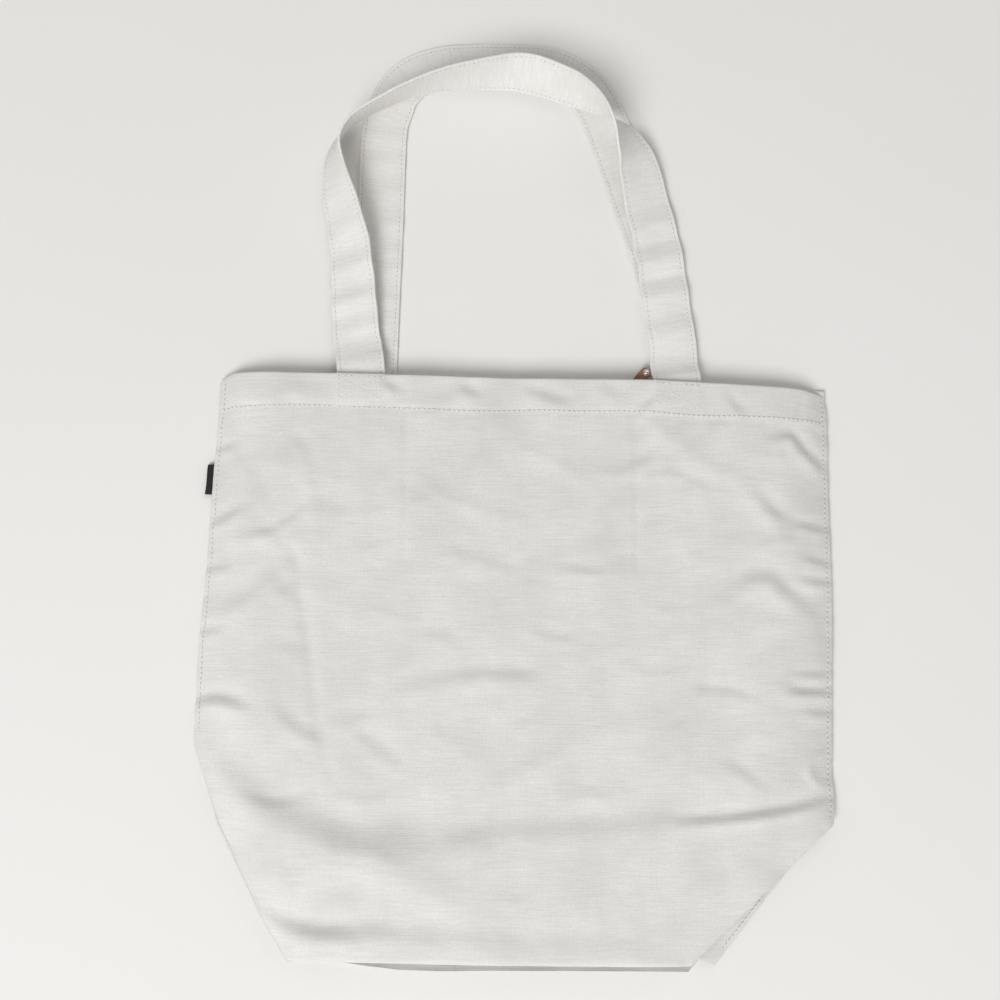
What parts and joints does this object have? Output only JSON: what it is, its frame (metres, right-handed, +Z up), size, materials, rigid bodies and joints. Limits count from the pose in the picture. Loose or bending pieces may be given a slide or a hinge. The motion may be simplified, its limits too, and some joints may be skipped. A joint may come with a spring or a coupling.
{
  "type": "tote bag",
  "caption": "Flat-lying natural canvas tote bag with two sewn strap handles, a folded base, an inner zip pocket with a leather pull, and a magnetic snap at the mouth.",
  "frame": {"origin": "middle of the resting face, centred on the whole object's plan", "axes": "+Z up off the floor, +Y from the bag's bottom to its handles, +X to the bag's right side as seen from its front"},
  "size_m": [0.45, 0.683, 0.0396],
  "materials": {
    "canvas": "natural cotton canvas",
    "strap_canvas": "doubled cotton canvas",
    "thread": "cotton sewing thread",
    "pocket_cloth": "light cotton lining",
    "zip_tape": "woven zip tape",
    "zip_metal": "nickel plated zip",
    "leather": "brown vegetable tanned leather",
    "rivet_metal": "polished nickel cap",
    "snap_metal": "nickel plated snap",
    "label_cloth": "black woven label, plain"
  },
  "bodies": {
    "bag": {"front_panel": "canvas", "back_panel": "canvas", "base_panel": "canvas", "left_corner_gusset": "canvas", "right_corner_gusset": "canvas", "left_side_seam": "canvas", "right_side_seam": "canvas", "front_hem": "canvas", "back_hem": "canvas", "front_strap_end_left": "strap_canvas", "front_strap_end_right": "strap_canvas", "back_strap_end_left": "strap_canvas", "back_strap_end_right": "strap_canvas", "front_hem_stitching": "thread", "side_seam_stitching": "thread", "strap_box_stitching": "thread", "pocket_panel": "pocket_cloth", "zip_tape_upper": "zip_tape", "zip_tape_lower": "zip_tape", "zip_teeth_upper": "zip_metal", "zip_teeth_lower": "zip_metal", "zip_stops": "zip_metal", "snap_stud": "snap_metal", "snap_socket": "snap_metal", "side_label": "label_cloth"},
    "front_handle": {"front_handle": "strap_canvas"},
    "back_handle": {"back_handle": "strap_canvas"},
    "zip_slider": {"zip_slider": "zip_metal", "pull_eye": "zip_metal"},
    "leather_pull": {"leather_pull": "leather", "pull_rivet": "rivet_metal"}
  },
  "joints": [
    {"name": "front_handle_lift", "type": "hinge", "parent": "bag", "child": "front_handle", "pos_m": [0, 0.0715, 0.018], "axis": [1, 0, 0], "range_deg": [0, 160]},
    {"name": "back_handle_lift", "type": "hinge", "parent": "bag", "child": "back_handle", "pos_m": [0, 0.0835, 0.0024], "axis": [1, 0, 0], "range_deg": [0, 112]},
    {"name": "slider_slide", "type": "slide", "parent": "bag", "child": "zip_slider", "axis": [-1, 0, 0], "range_m": [0, 0.14]},
    {"name": "pull_swing", "type": "hinge", "parent": "zip_slider", "child": "leather_pull", "pos_m": [0.074, 0.0355, 0.0074], "axis": [0, 0, 1], "range_deg": [-15, 40]}
  ],
  "couplings": [
    {"joint": "back_handle_lift", "follows": "front_handle_lift", "ratio": 0.7}
  ]
}
